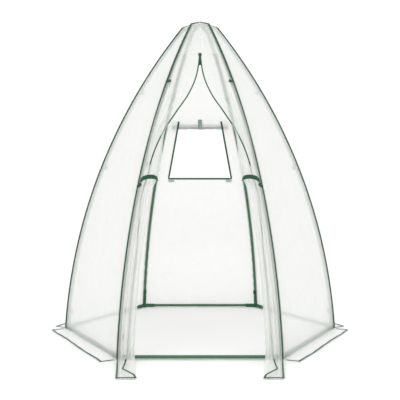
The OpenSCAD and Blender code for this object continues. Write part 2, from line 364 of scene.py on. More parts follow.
class Maker:
    """One material's node tree; add() puts in a node and gives its output as a Wire."""

    def __init__(self, name, **constants):
        self.material = bpy.data.materials.new(name)
        self.material.use_nodes = True
        self.tree = self.material.node_tree
        self.shader = self.tree.nodes["Principled BSDF"]
        for socket, value in constants.items():
            self.shader.inputs[socket.replace("_", " ")].default_value = value

    def add(self, kind, settings=None, values=None, out=0):
        node = self.tree.nodes.new(kind)
        for name, value in (settings or {}).items():
            if name == "stops":
                self._stops(node.color_ramp, value)
            else:
                setattr(node, name, value)
        for name, value in (values or {}).items():
            self.put(node.inputs[name], value)
        return Wire(self, node.outputs[out])

    def _stops(self, ramp, stops):
        while len(ramp.elements) < len(stops):
            ramp.elements.new(1.0)
        for element, (at, colour) in zip(ramp.elements, stops):
            element.position = at
            element.color = colour

    def put(self, socket, value):
        if isinstance(value, Wire):
            self.tree.links.new(value.socket, socket)
        else:
            socket.default_value = value

    def surface(self, **values):
        for name, value in values.items():
            self.put(self.shader.inputs[name.replace("_", " ")], value)

    def places(self):
        """Object coordinates, in metres."""
        return self.add("ShaderNodeTexCoord", out=3)

    def cloth_places(self):
        """The piece's own uv map, in metres."""
        return self.add("ShaderNodeUVMap", {"uv_map": "UVMap"})

    def noise(self, where, scale, detail=3.0, rough=0.55):
        values = {"Vector": where, "Scale": scale, "Detail": detail, "Roughness": rough}
        return self.add("ShaderNodeTexNoise", None, values)

    def wave(self, where, scale, direction, distort=0.0):
        settings = {"wave_type": "BANDS", "bands_direction": direction}
        values = {"Vector": where, "Scale": scale, "Distortion": distort}
        return self.add("ShaderNodeTexWave", settings, values, out=1)

    def blend_colours(self, factor, a, b):
        settings = {"data_type": "RGBA"}
        return self.add("ShaderNodeMix", settings, {0: factor, 6: a, 7: b}, out=2)

    def bump(self, height, strength, distance, normal=None):
        values = {"Height": height, "Strength": strength, "Distance": distance}
        if normal is not None:
            values["Normal"] = normal
        return self.add("ShaderNodeBump", None, values)

    def ramp(self, value, *stops):
        return self.add("ShaderNodeValToRGB", {"stops": stops}, {"Fac": value})


def grey(level):
    return (level, level, level, 1.0)


def shade(colour, factor):
    return (colour[0] * factor, colour[1] * factor, colour[2] * factor, 1.0)


def tube_paint(colour):
    """Baked-on green coat of the steel tubes: soft gloss, faint orange peel and dust."""
    m = Maker("tube_paint", Coat_Weight=0.25, Coat_Roughness=0.15, Metallic=0.0)
    where = m.places()
    mottle = m.noise(where, 9.0, 4.0)
    dust = m.noise(where, 55.0, 2.0)
    tone = m.blend_colours(mottle, shade(colour, 0.82), shade(colour, 1.18))
    tone = m.blend_colours(dust * 0.12, tone, (0.35, 0.40, 0.36, 1.0))
    peel = m.noise(where, 900.0, 2.0)
    m.surface(Base_Color=tone, Roughness=mottle * 0.16 + 0.26,
              Normal=m.bump(peel, 0.12, 0.0004))
    return m.material


def connector_plastic(colour):
    """Moulded green plastic with a fine spark-eroded grain."""
    m = Maker("connector_plastic", IOR=1.5)
    where = m.places()
    grain = m.noise(where, 1400.0, 2.0)
    flow = m.noise(where, 14.0, 3.0)
    tone = m.blend_colours(flow, shade(colour, 0.85), shade(colour, 1.15))
    m.surface(Base_Color=tone, Roughness=flow * 0.2 + 0.38,
              Normal=m.bump(grain, 0.25, 0.0003))
    return m.material


def clear_film(name, colour, clear, haze, scatter=0.42, relief=1.0):
    """Soft milky film: part see-through, part scattering light on both of its sides,
    with cloudy patches, fold creases and a fine ripple."""
    m = Maker(name, IOR=1.5, Specular_IOR_Level=0.5, Coat_Weight=0.0)
    where = m.places()
    broad = m.noise(where, 2.6, 2.0)
    ripple = m.noise(where, 17.0, 3.0, 0.6)
    crease = m.noise(where, 6.5, 1.0)
    line = m.ramp(crease, (0.470, grey(0)), (0.498, grey(1)), (0.530, grey(0)))
    veil = m.ramp(broad, (0.35, grey(0)), (0.75, grey(1)))
    solid = 1.0 - clear / (1.0 - scatter)
    alpha = veil * haze + line * (haze * 0.45) + ripple * (haze * 0.5) + solid
    tone = m.blend_colours(ripple, shade(colour, 0.94), shade(colour, 1.04))
    low = m.bump(broad, 0.35 * relief, 0.012)
    high = m.bump(ripple, 0.30 * relief, 0.004, low)
    m.surface(Base_Color=tone, Roughness=ripple * 0.14 + 0.16, Alpha=alpha, Normal=high)
    glow = m.add("ShaderNodeBsdfTranslucent", None, {"Color": shade(colour, 0.99)})
    front = Wire(m, m.shader.outputs[0])
    both = m.add("ShaderNodeMixShader", None, {0: scatter, 1: front, 2: glow})
    m.put(m.tree.nodes["Material Output"].inputs["Surface"], both)
    return m.material


def woven(name, colour, pitch, gloss=0.7):
    """Woven tape: warp and weft bands along the piece's own uv, with a soft sheen."""
    m = Maker(name, Sheen_Weight=0.25, Sheen_Roughness=0.5)
    where = m.cloth_places()
    scale = 0.31 / pitch
    warp = m.wave(where, scale, "X", 0.4)
    weft = m.wave(where, scale, "Y", 0.4)
    weave = warp * weft
    wear = m.noise(where, 60.0, 3.0)
    tone = m.blend_colours(weave, shade(colour, 0.62), shade(colour, 1.25))
    tone = m.blend_colours(wear * 0.18, tone, shade(colour, 2.2))
    m.surface(Base_Color=tone, Roughness=wear * 0.15 + gloss,
              Normal=m.bump(weave, 0.5, pitch * 0.25))
    return m.material


def plain(name, colour, rough, grain=600.0):
    """A small moulded or sewn part: one colour with a faint grain and tone change."""
    m = Maker(name, IOR=1.5)
    where = m.places()
    fleck = m.noise(where, grain, 2.0)
    tone = m.blend_colours(m.noise(where, 30.0), shade(colour, 0.8), shade(colour, 1.2))
    m.surface(Base_Color=tone, Roughness=fleck * 0.15 + rough,
              Normal=m.bump(fleck, 0.2, 0.0003))
    return m.material


def ground(colour):
    """Plain pale studio floor with a hardly visible tone change."""
    m = Maker("studio_floor")
    tone = m.blend_colours(m.noise(m.places(), 0.8), shade(colour, 0.995), shade(colour, 1.0))
    m.surface(Base_Color=tone, Roughness=0.9)
    return m.material


MATERIALS = {}


def coat_node(node, material):
    """Gives a CAD node's object a finished material."""
    piece = bpy.data.objects[frame["nodes"][node].name]
    piece.data.materials.clear()
    piece.data.materials.append(material)


# ---- settings ----------------------------------------------------------------------


def colour_property(name, text, default):
    return bpy.props.FloatVectorProperty(
        name=name, description=text, subtype="COLOR", size=3, min=0.0, max=1.0, default=default)


def length_property(name, text, default):
    return bpy.props.FloatProperty(
        name=name, description=text, default=default, unit="LENGTH", min=0.0)


class GREENHOUSE_PG_cover(bpy.types.PropertyGroup):
    """Film cover and its trims."""

    clear: bpy.props.FloatProperty(
        name="Clearness", description="Share of light that one film lets straight through",
        default=0.24, min=0.0, max=1.0, subtype="FACTOR")
    haze: bpy.props.FloatProperty(
        name="Haze", description="Extra veil in the film's cloudy patches",
        default=0.05, min=0.0, max=1.0, subtype="FACTOR")
    film: colour_property("Film", "Colour of the film's haze", (0.925, 0.93, 0.915))
    slack: length_property("Slack", "Depth of the film's soft waves", 0.0022)
    pucker: length_property("Pucker", "Depth of the puckers beside a seam", 0.0012)
    binding: colour_property("Binding", "Colour of piping and trims", (0.030, 0.100, 0.050))
    webbing: colour_property("Webbing", "Colour of straps and ties", (0.007, 0.070, 0.027))


class GREENHOUSE_PG_frame(bpy.types.PropertyGroup):
    """Tubes and connectors."""

    tube: colour_property("Tube", "Colour of the coated tubes", (0.017, 0.128, 0.045))
    plastic: colour_property("Connector", "Colour of the connectors", (0.014, 0.106, 0.040))


class GREENHOUSE_PG_stage(bpy.types.PropertyGroup):
    """Camera, floor and lights."""

    distance: length_property("Distance", "Camera's distance from the middle axis", 4.187)
    height: length_property("Height", "Camera's height above the ground", 0.9334)
    tilt: bpy.props.FloatProperty(
        name="Tilt", description="How far the camera looks down",
        default=math.radians(0.76), subtype="ANGLE")
    lens: bpy.props.FloatProperty(
        name="Lens", description="Focal length in millimetres on a 36 mm sensor",
        default=55.2, min=10.0)
    floor: colour_property("Floor", "Colour of the studio floor", (0.95, 0.95, 0.95))


# ---- cover: walls and crown --------------------------------------------------------


def film_waves(s, z, half, seed, slack, pucker):
    """Height of the film above its taut surface: slow waves that fade at the seams,
    and short puckers beside them."""
    rng = np.random.default_rng(seed)
    edge = np.clip(1 - np.abs(s) / np.maximum(half, 1e-6), 0, 1)
    out = np.zeros(np.broadcast(s, z).shape)
    for _ in range(5):
        kx, kz = rng.uniform(4, 13), rng.uniform(2, 9)
        out = out + np.sin(kx * s + kz * z + rng.uniform(0, 6.28)) / 5
    out = out * slack * 2 * smooth(edge * 3)
    beside = edge * half
    near = 1.6 * np.exp(-beside / 0.045) * smooth((beside - 0.012) / 0.03)
    rate = 2 * math.pi / 0.075
    phase = rate * z + 1.7 * np.sin(5.1 * z + seed)
    return out + pucker * near * np.sin(phase) * np.sign(s)


def wall_rows(low, top, step=0.014):
    """Heights of a wall's rows, close enough for its curve."""
    return np.linspace(low, top, max(3, int(round((top - low) / step))))


def film_wall(name, azimuth, low, top, seed, props, columns=56):
    """A wall's film: straight across from seam to seam, curved in height."""
    z = wall_rows(low, top)[:, None]
    half = wall_n(z) * TAN30
    t = np.linspace(-1, 1, columns)[None, :] * half
    n = wall_n(z) + film_waves(t, z, half, seed, props.slack, props.pucker)
    points = on_side(azimuth, n, t, z)
    return sheet_piece(name, points, MATERIALS["film"]), points


def window_x(z):
    """Half width of the window at a height, held at its ends beyond them."""
    part = (np.clip(z, WINDOW_LOW_Z, WINDOW_TOP_Z) - WINDOW_LOW_Z)
    part = part / (WINDOW_TOP_Z - WINDOW_LOW_Z)
    return WINDOW_LOW_X + (WINDOW_TOP_X - WINDOW_LOW_X) * part


def rear_wall(props):
    """The rear wall: its middle columns follow the window's sides, and the quads
    between the window's edges are left out."""
    z = np.concatenate([wall_rows(FILM_FOOT_Z, WINDOW_LOW_Z)[:-1],
                        wall_rows(WINDOW_LOW_Z, WINDOW_TOP_Z)[:-1],
                        wall_rows(WINDOW_TOP_Z, SHOULDER_Z)])[:, None]
    half = wall_n(z) * TAN30
    inner = np.minimum(window_x(z), half * 0.8)
    side = np.linspace(0, 1, 16)[None, :]
    left = -half + (half - inner) * side
    middle = -inner + 2 * inner * np.linspace(0, 1, 31)[None, 1:-1]
    t = np.concatenate([left, middle, -left[:, ::-1]], axis=1)
    n = wall_n(z) + film_waves(t, z, half, 5, props.slack, props.pucker)
    points = on_side(REAR, n, -t, z)
    rows, cols = t.shape
    faces = grid_faces(rows, cols)
    row, col = faces[:, 0] // cols, faces[:, 0] % cols
    middle_z = (z[row, 0] + z[np.minimum(row + 1, rows - 1), 0]) / 2
    open_row = (middle_z > WINDOW_LOW_Z) & (middle_z < WINDOW_TOP_Z)
    hole = open_row & (col >= 15) & (col < cols - 16)
    uv = np.stack([t, np.broadcast_to(z, t.shape)], -1)
    piece = make_piece("rear_wall_film", points, faces[~hole], MATERIALS["film"], uv)
    quads = points.reshape(-1, 3)[faces[~hole]]
    span = np.cross(quads[:, 2] - quads[:, 0], quads[:, 3] - quads[:, 1])
    return piece, float(np.linalg.norm(span, axis=-1).sum() / 2)


def crown_point(azimuth_corner, part):
    """A point on a crown ridge: part 0 at the shoulder, 1 at the peak."""
    r = (rib_radius(SHOULDER_Z) + SEAM_OUT) * (1 - part)
    z = SHOULDER_Z + (PEAK_Z - 0.002 - SHOULDER_Z) * part
    return np.array([r * math.cos(azimuth_corner), r * math.sin(azimuth_corner) + AXIS_Y, z])


def crown_parts():
    """Six gores between neighbouring ridges, each a ruled surface that sags a little."""
    parts, area = [], 0.0
    for k in range(6):
        part = np.linspace(0, 0.93, 12)[:, None, None]
        a, b = CORNERS[k], CORNERS[(k + 1) % 6]
        low = np.stack([crown_point(a, 0), crown_point(b, 0)])
        peak = crown_point(a, 1)
        across = np.linspace(0, 1, 13)[None, :, None]
        edge = low[0] + (low[1] - low[0]) * across
        points = edge + (peak - edge) * part
        sag = 0.0025 * np.sin(math.pi * across[..., 0]) * np.sin(math.pi * part[..., 0])
        points = points - np.array([0, 0, 1]) * sag[..., None]
        rows, cols = points.shape[:2]
        uv = np.stack(np.broadcast_arrays(across[..., 0] * 0.12, part[..., 0] * 0.12), -1)
        parts.append((points.reshape(-1, 3), grid_faces(rows, cols), uv.reshape(-1, 2), []))
        area += area_of(points)
    return parts, area


class GREENHOUSE_OT_walls(bpy.types.Operator):
    """Clear film walls, the film above the door and the crown"""

    bl_idname = "greenhouse.walls"
    bl_label = "Walls"

    def execute(self, context):
        props = context.scene.greenhouse_cover
        for seed, (node, azimuth) in enumerate(WALLS.items()):
            piece, points = film_wall(node + "_film", azimuth, FILM_FOOT_Z, SHOULDER_Z,
                                      seed + 1, props)
            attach(piece, "frame")
            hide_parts(node)
            min(area_of(points), WALL_FLAT[0] * WALL_FLAT[1])
        piece, area = rear_wall(props)
        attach(piece, "frame")
        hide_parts("wall_rear")
        piece, points = film_wall("front_top_film", FRONT, SLIT_TOP_Z,
                                  SHOULDER_Z, 7, props, 40)
        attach(piece, "frame")
        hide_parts("wall_front_top")
        area_of(points)
        parts, area = crown_parts()
        points, faces, uv, caps = join_arrays(parts)
        piece = make_piece("crown_film", points, faces, MATERIALS["film"], uv, caps)
        face_out(piece)
        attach(piece, "frame")
        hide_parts("crown_cover")
        return {"FINISHED"}


# ---- cover: piping, stitches and rib ties ------------------------------------------


RIDGE_STEPS = 14


def seam_path(corner, out, step=0.02, low=0.004):
    """A corner seam from the ground to the peak, and its outward directions."""
    z = np.linspace(low, SHOULDER_Z, int(SHOULDER_Z / step))
    angle = np.arcsin((z - ARC_Z0) / RIB_BEND_R)
    r = rib_radius(z) + out
    arc = np.stack([r, z], -1)
    way = np.stack([np.cos(angle), np.sin(angle)], -1)
    lift = out - SEAM_OUT
    rise = np.linspace(0.06, 0.945, RIDGE_STEPS)[:, None]
    shoulder = np.array([rib_radius(SHOULDER_Z) + out, SHOULDER_Z + lift * 0.6])
    peak = np.array([0.0, PEAK_Z - 0.006 + lift * 0.3])
    ridge = shoulder + (peak - shoulder) * rise
    slope = math.atan2(PEAK_Z - SHOULDER_Z, 0.119)
    ridge_way = np.broadcast_to([math.sin(slope), math.cos(slope)], ridge.shape)
    rz = np.concatenate([arc, ridge])
    ways = np.concatenate([way, ridge_way])
    flat = np.array([math.cos(corner), math.sin(corner)])
    path = np.stack([rz[:, 0] * flat[0], rz[:, 0] * flat[1] + AXIS_Y, rz[:, 1]], -1)
    out_dir = np.stack([ways[:, 0] * flat[0], ways[:, 0] * flat[1], ways[:, 1]], -1)
    across = np.broadcast_to([-flat[1], flat[0], 0.0], path.shape)
    return path, across, out_dir


class GREENHOUSE_OT_piping(bpy.types.Operator):
    """Piping on the corner seams, its sewn flange and the stitches beside it"""

    bl_idname = "greenhouse.piping"
    bl_label = "Piping"

    def execute(self, context):
        cords, edges, flanges, stitches = [], [], [], []
        for corner in CORNERS:
            path, across, out = seam_path(corner, PIPING_OUT)
            cords.append(sweep_arrays(path, across, out, ring_profile(PIPING_R, 14)))
            path, across, out = (rows[:-RIDGE_STEPS] for rows in
                                 seam_path(corner, SEAM_OUT + 0.0006))
            for s in (-1, 1):
                lean = unit(across * (COS30 * s) - out * 0.5)
                skin = unit(np.cross(lean, unit(np.gradient(path, axis=0))) * s)
                edges.append(sweep_arrays(path + lean * 0.0045 + skin * 0.0006, lean, skin,
                                          band_profile(0.006, 0.0014)))
                flanges.append(sweep_arrays(path + lean * 0.012, lean, skin,
                                            band_profile(0.020, 0.0010)))
                stitches.append(studs(path + lean * 0.0105, lean, skin, 0.0085,
                                      (0.0058, 0.0022, 0.0010), lift=0.0005))
        piece = solid_piece("seam_piping_cord", cords + edges, MATERIALS["binding"])
        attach(piece, "frame")
        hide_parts("seam_piping")
        piece = solid_piece("seam_flanges", flanges, MATERIALS["seam"])
        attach(piece, "frame")
        piece = solid_piece("seam_stitches", stitches, MATERIALS["thread"])
        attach(piece, "frame")
        return {"FINISHED"}


class GREENHOUSE_OT_rib_ties(bpy.types.Operator):
    """Hook-and-loop ties that hold the cover to the ribs"""

    bl_idname = "greenhouse.rib_ties"
    bl_label = "Rib ties"

    def execute(self, context):
        parts = []
        for corner in CORNERS:
            for z in (0.121, 1.103, 1.614):
                parts += self.tie(corner, z)
        parts += [self.outer_tab(corner, 1.623) for corner in (CORNERS[4], CORNERS[5])]
        piece = solid_piece("cover_ties", parts, MATERIALS["webbing"])
        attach(piece, "frame")
        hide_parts("rib_ties")
        return {"FINISHED"}

    def outer_tab(self, corner, z):
        """A tie's sewn end, folded flat on the door's side of a front seam."""
        side = 1 if math.cos(corner) < 0 else -1
        x = seam_x(z) - 0.004 - np.linspace(0, 0.024, 8)
        n = wall_n(z) + 0.006 + 0.008 * smooth(np.linspace(0, 2, 8))
        path = np.stack([-side * x, AXIS_Y - n, np.full(8, z)], -1)
        out = wall_out(FRONT, np.full(8, z))
        across, out = sweep_frame(path, out)
        return sweep_arrays(path, across, out, band_profile(0.020, 0.0036))

    def tie(self, corner, z):
        """A band around the rib, a little oval, with a tail pressed on its inner side."""
        lean = math.asin((z - ARC_Z0) / RIB_BEND_R)
        radial = np.array([math.cos(corner), math.sin(corner), 0.0])
        side = np.array([-math.sin(corner), math.cos(corner), 0.0])
        up = -math.sin(lean) * radial + math.cos(lean) * np.array([0, 0, 1.0])
        out = math.cos(lean) * radial + math.sin(lean) * np.array([0, 0, 1.0])
        middle = radial * float(rib_radius(z)) + np.array([0, AXIS_Y, z])
        angle = np.linspace(0, 2 * math.pi, 32, endpoint=False)[:, None]
        grow = 0.0098 + 0.0008 * np.cos(3 * angle)
        ring_out = np.cos(angle) * out + np.sin(angle) * side
        ring = middle + grow * ring_out
        band = sweep_arrays(ring, np.broadcast_to(up, ring.shape), ring_out,
                            band_profile(0.032, 0.0016), loop=True)
        along = np.linspace(0.009, 0.024, 8)[:, None]
        bend = 0.0025 * np.sin(along * 110)
        tail = middle - along * out + (bend + 0.002) * side
        tail_band = sweep_arrays(tail, np.broadcast_to(up, tail.shape),
                                 np.broadcast_to(side, tail.shape), band_profile(0.029, 0.002))
        return [band, tail_band]


# ---- doorway -----------------------------------------------------------------------

# Pleats in a flap, the width over which it passes from the frame to the door, and the
# heights at which it is parted into pieces.
FOLDS = 5
SLAB = 0.085
BEND_TOP_Z, BEND_R = 0.075, 0.060
FLAP_END_N = 1.140
WALL_STEPS, BEND_STEPS, RUN_STEPS = 190, 13, 41
DOOR_SPLITS = [0.0, 0.42, 0.80, 1.14, 1.42, 1.64, SLIT_TOP_Z]


def seam_x(z):
    """Distance of a front corner seam from the middle plane."""
    return (rib_radius(z) + SEAM_OUT) / 2


class Flap:
    """The middle line of a door flap: it follows the wall down, bends out over the
    ground and lies there. Arrays run from the slit's top to the hem."""

    def __init__(self, side):
        self.side = side
        z = np.linspace(SLIT_TOP_Z, BEND_TOP_Z, WALL_STEPS)
        n = wall_n(z)
        bend = np.linspace(0, math.pi / 2, BEND_STEPS + 1)[1:]
        bend_n = n[-1] + BEND_R * (1 - np.cos(bend))
        bend_z = BEND_TOP_Z - BEND_R * np.sin(bend)
        run = np.linspace(0, 1, RUN_STEPS + 1)[1:]
        run_n = bend_n[-1] + (FLAP_END_N - bend_n[-1]) * run
        run_z = bend_z[-1] + (0.004 - bend_z[-1]) * smooth(run * 2.5)
        self.n = np.concatenate([n, bend_n, run_n])
        self.z = np.concatenate([z, bend_z, run_z])
        self.down = lengths_along(np.stack([self.n, self.z], -1))
        slope = np.arctan2(np.gradient(self.z), np.gradient(self.n))
        self.way = np.stack([-np.sin(slope), np.cos(slope)], -1)
        self.way[self.way[:, 0] < 0] *= -1
        bend_share = np.linspace(0, 1, BEND_STEPS + 1)[1:] * 0.2
        self.ground = np.concatenate([np.zeros(WALL_STEPS), bend_share, 0.2 + 0.8 * run])
        self.run = np.concatenate([np.zeros(WALL_STEPS + BEND_STEPS), run])
        height = np.where(self.ground > 0, 0.03, self.z)
        g = self.ground
        self.seam = seam_x(height) - 0.041 * g
        self.fold = knots(height, INNER_FOLD) - 0.045 * g
        self.zip = knots(height, ZIP_EDGE) - 0.005 * g
        self.share = 1 - 0.30 * smooth((1.33 - height) / 0.23)
        flat = seam_x(height)
        width = (self.seam - self.fold) / FOLDS
        per_fold = 0.86 * flat * self.share / FOLDS
        depth = 0.25 * np.sqrt(np.maximum(per_fold**2 - width**2, 0))
        self.gather = np.exp(-(((self.z - STRAP_Z) / 0.13) ** 2)) * (g == 0)
        self.depth = np.minimum(depth, 0.014) * (1 - 0.93 * smooth(g * 1.7))
        self.depth = self.depth * (1 - 0.62 * self.gather)
        self.front = smooth((self.z - STRAP_Z - 0.05) / 0.06) * (g == 0)

    def surface(self, rows, columns=112):
        """Film from the seam to the zip edge, by share u of its own width."""
        return self.at(rows, np.linspace(0, 1, columns)[None, :])

    def at(self, rows, u):
        """Points at share u for some rows. Up to the inner fold the film stands in
        pleats, sines whose depth uses up its width. Past the fold it lies back over
        them above the strap and behind them below it. On the ground it lies back on
        top, its end drawn in, which curls the hem."""
        col = (slice(None), None)
        seam, fold, zip_x = self.seam[rows][col], self.fold[rows][col], self.zip[rows][col]
        depth, down = self.depth[rows][col], self.down[rows][col]
        share, gather = self.share[rows][col], self.gather[rows][col]
        run = self.run[rows][col]
        main = np.clip(u / share, 0, 1)
        back = np.clip((u - share) / np.maximum(1 - share, 1e-4), 0, 1)
        turn = smooth(back * 6)
        ramp = smooth(main / 0.10)
        wobble = 0.35 * np.sin(3.1 * down + 4 * main) + 0.25 * np.sin(7.3 * down + 1.3)
        phase = 2 * math.pi * FOLDS * main + wobble * 1.2
        deep = 0.80 + 0.35 * np.sin(9.7 * main + 2.1 * down + 1.0)
        pleat = depth * deep * np.sin(phase) * ramp * (1 - turn)
        stand = (depth * 1.22 + 0.010 * gather) * ramp + 0.0012
        belly = 0.014 * gather * np.sin(math.pi * main * 0.8)
        laid = smooth(run * 5)
        over = (0.010 + 0.003 * np.sin(9 * down) * np.sin(math.pi * back)) * laid * turn
        behind = (stand + belly + 0.004 + 0.002 * np.sin(9 * down)) * (1 - laid) * turn
        front = self.front[rows][col]
        behind = behind * (1 - front) - (1.15 * depth + 0.004) * turn * front
        sway = 0.004 * np.sin(2 * phase + 2.0) * ramp * smooth(depth / 0.01)
        x = seam + (fold - seam) * main + sway * (1 - main) * main * 4
        x = x + (zip_x - fold) * back
        off = pleat + stand + belly + over - behind + 0.010 * run**2 * back
        n = self.n[rows][col] + self.way[rows][:, :1] * off - 0.088 * run * back**1.3
        z = self.z[rows][col] + self.way[rows][:, 1:] * off
        z = np.maximum(z, 0.0015 + 0.0004 * u)
        return np.stack([self.side * x, AXIS_Y - n, z], -1)

    def out_at(self, rows):
        """Outward directions of some rows."""
        way = self.way[rows]
        return np.stack([np.zeros(len(way)), -way[:, 0], way[:, 1]], -1)


def door_slab(side, low, high):
    """Start and end of the stretch over which a flap passes from frame to door: at
    right angles to the rib's chord between two heights, in the wall's own plane."""
    def seam_point(z):
        return np.array([side * float(seam_x(z)), AXIS_Y - float(wall_n(z)), z])

    chord = seam_point(high) - seam_point(low)
    inward = np.array([-side, 0.0, 0.0])
    across = unit(inward - chord * (inward @ chord) / (chord @ chord))
    start = seam_point(low)
    end = start + across * SLAB * float(across @ inward)
    return tuple(start.tolist()), tuple(end.tolist())


def tube_along(path, radius, toward, sides=10, squash=1.0):
    """A round cord along a path."""
    across, out = sweep_frame(path, toward)
    return sweep_arrays(path, across, out, ring_profile(radius, sides, squash))


class GREENHOUSE_OT_door(bpy.types.Operator):
    """Both door flaps, gathered to the ribs, with their zip edges and hems"""

    bl_idname = "greenhouse.door"
    bl_label = "Door flaps"

    def execute(self, context):
        for side, word in ((-1, "left"), (1, "right")):
            flap = Flap(side)
            first = None
            for i, (low, high) in enumerate(zip(DOOR_SPLITS[:-1], DOOR_SPLITS[1:])):
                keep = (flap.z <= high + 1e-9) & (flap.z >= low - 1e-9)
                if low > 0:
                    rows = np.flatnonzero(keep & (flap.ground == 0))
                else:
                    rows = np.flatnonzero(keep)
                if i:
                    rows = np.append(rows, rows[-1] + 1)
                slab = door_slab(side, max(low, 0.02), high)
                piece = self.film(flap, rows, f"door_flap_{word}_{i + 1}", slab, word)
                first = first or piece
                self.zip_edge(flap, rows, f"door_zip_{word}_{i + 1}", slab, word)
                if low == 0:
                    self.hem(flap, rows, word, slab)
            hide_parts(f"door_roll_{word}", f"door_shoulder_{word}")
        return {"FINISHED"}

    def film(self, flap, rows, name, slab, word):
        """One part of a flap; its flat width is its widest seam distance from the slit."""
        points = flap.surface(rows)
        # Its film has a lighter colour than the wall film: painted light against the shade in
        # its pleats.
        piece = sheet_piece(name, points, MATERIALS["folded_film_painted_light"])
        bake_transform(piece)
        length = float(flap.down[rows[-1]] - flap.down[rows[0]])
        width = float(np.max(seam_x(np.maximum(flap.z[rows], 0.03))))
        area = min(max(area_of(points), 0.31 * width * length), width * length)
        f"rib_lower_{5 if word == 'left' else 6}"
        return piece

    def zip_edge(self, flap, rows, name, slab, word):
        """Zip tape folded over the free edge, with a row of teeth."""
        edge = flap.at(rows, np.array([[1.0]]))[:, 0]
        inside = flap.at(rows, np.array([[0.93]]))[:, 0]
        side = unit(edge - inside)
        run = unit(np.gradient(edge, axis=0))
        side = unit(side - run * np.sum(side * run, -1, keepdims=True))
        out = unit(np.cross(run, side))
        tape = sweep_arrays(edge - side * 0.001, side, out, band_profile(0.0065, 0.0016))
        bead = sweep_arrays(edge + side * 0.0018, side, out, ring_profile(0.0016, 8))
        teeth = studs(edge + side * 0.0028, side, out, 0.0050, (0.0026, 0.0026, 0.0022),
                      lift=-0.0011)
        piece = solid_piece(name, [tape, bead, teeth], MATERIALS["zip"])
        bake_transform(piece)

    def hem(self, flap, rows, word, slab):
        """Bound hem across the end of the flap, and the binding on its outer edge."""
        share = float(flap.share[-1])
        hems = []
        for u in (np.linspace(0, share, 70), np.linspace(share, 1, 34)):
            end = flap.at(rows[-1:], u[None, :])[0]
            toward = np.broadcast_to(UP, end.shape)
            across, out = sweep_frame(end, toward)
            hems.append(sweep_arrays(end + out * 0.0008, across, out,
                                     band_profile(0.011, 0.0026)))
        side_rows = rows[flap.ground[rows] > 0]
        side = flap.at(side_rows, np.array([[0.0]]))[:, 0]
        toward = flap.out_at(side_rows)
        across, out = sweep_frame(side, toward)
        trim = sweep_arrays(side + out * 0.0008, across, out, band_profile(0.010, 0.0026))
        piece = solid_piece(f"door_hem_{word}", [*hems, trim], MATERIALS["binding"])
        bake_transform(piece)


# Middle of a strap's arch, and its half sizes across and outwards.
STRAP_X = 0.2965
STRAP_HALF_X, STRAP_HALF_N = 0.0515, 0.040
TOGGLE_R, TOGGLE_HALF = 0.0085, 0.016


class GREENHOUSE_OT_straps(bpy.types.Operator):
    """Webbing straps that hold the gathered flaps, each with a toggle"""

    bl_idname = "greenhouse.straps"
    bl_label = "Door straps"

    def execute(self, context):
        for side, word in ((-1, "left"), (1, "right")):
            part = np.linspace(0, 1, 48)
            angle = math.radians(-18) + math.radians(206) * part
            middle_n = float(wall_n(STRAP_Z)) + 0.020
            bow = np.sign(np.sin(angle)) * np.abs(np.sin(angle)) ** 0.6
            x = STRAP_X + STRAP_HALF_X * np.cos(angle)
            n = middle_n + STRAP_HALF_N * bow
            z = STRAP_Z - 0.018 + 0.034 * part + 0.030 * np.sin(math.pi * part) ** 1.2
            path = np.stack([side * x, AXIS_Y - n, z], -1)
            run = unit(np.gradient(path, axis=0))
            out = np.stack([side * np.cos(angle), -np.sin(angle), 0.25 + 0 * angle], -1)
            out = unit(out - run * np.sum(out * run, -1, keepdims=True))
            across = unit(np.cross(run, out))
            band = sweep_arrays(path, across, out, band_profile(0.025, 0.0022))
            rows = [studs(path + across * (s * 0.0075), across, out, 0.006,
                          STITCH, lift=0.0011) for s in (-1, 1)]
            piece = solid_piece(f"door_webbing_{word}", [band], MATERIALS["webbing"])
            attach(piece, f"strap_{word}")
            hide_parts(f"door_strap_{word}")
            stitch = solid_piece(f"door_webbing_stitches_{word}", rows, MATERIALS["thread"])
            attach(stitch, f"strap_{word}")
            self.toggle(side, word, path[10], unit(path[8] - path[13]))
        return {"FINISHED"}

    def toggle(self, side, word, at, up):
        """A turned toggle: its radius falls with the sixth power of the distance from
        its middle, where a bell curve cuts a waist groove."""
        share = np.linspace(-1, 1, 25)
        radius = TOGGLE_R * np.sqrt(np.clip(1 - share**6, 0, 1)) + 0.0004
        radius = radius * (1 - 0.28 * np.exp(-((share / 0.12) ** 2)))
        out = np.array([side * 0.5, -0.86, 0.1])
        along = unit(up - out * (up @ out))
        hang = np.array([side * 0.002, -0.010, -0.026])
        line = at + out * 0.0065 + hang + along * (share * TOGGLE_HALF)[:, None]
        turn = np.linspace(0, 2 * math.pi, 20, endpoint=False)
        third = np.cross(along, out)
        rim = np.cos(turn)[:, None] * out + np.sin(turn)[:, None] * third
        points = line[:, None] + radius[:, None, None] * rim[None]
        rows, cols = points.shape[:2]
        caps = [list(range(cols))[::-1], [(rows - 1) * cols + i for i in range(cols)]]
        part = (points.reshape(-1, 3), grid_faces(rows, cols, wrap=True),
                np.zeros((rows * cols, 2)), caps)
        piece = solid_piece(f"door_toggle_{word}", [part], MATERIALS["dark_plastic"])
        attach(piece, f"strap_{word}")


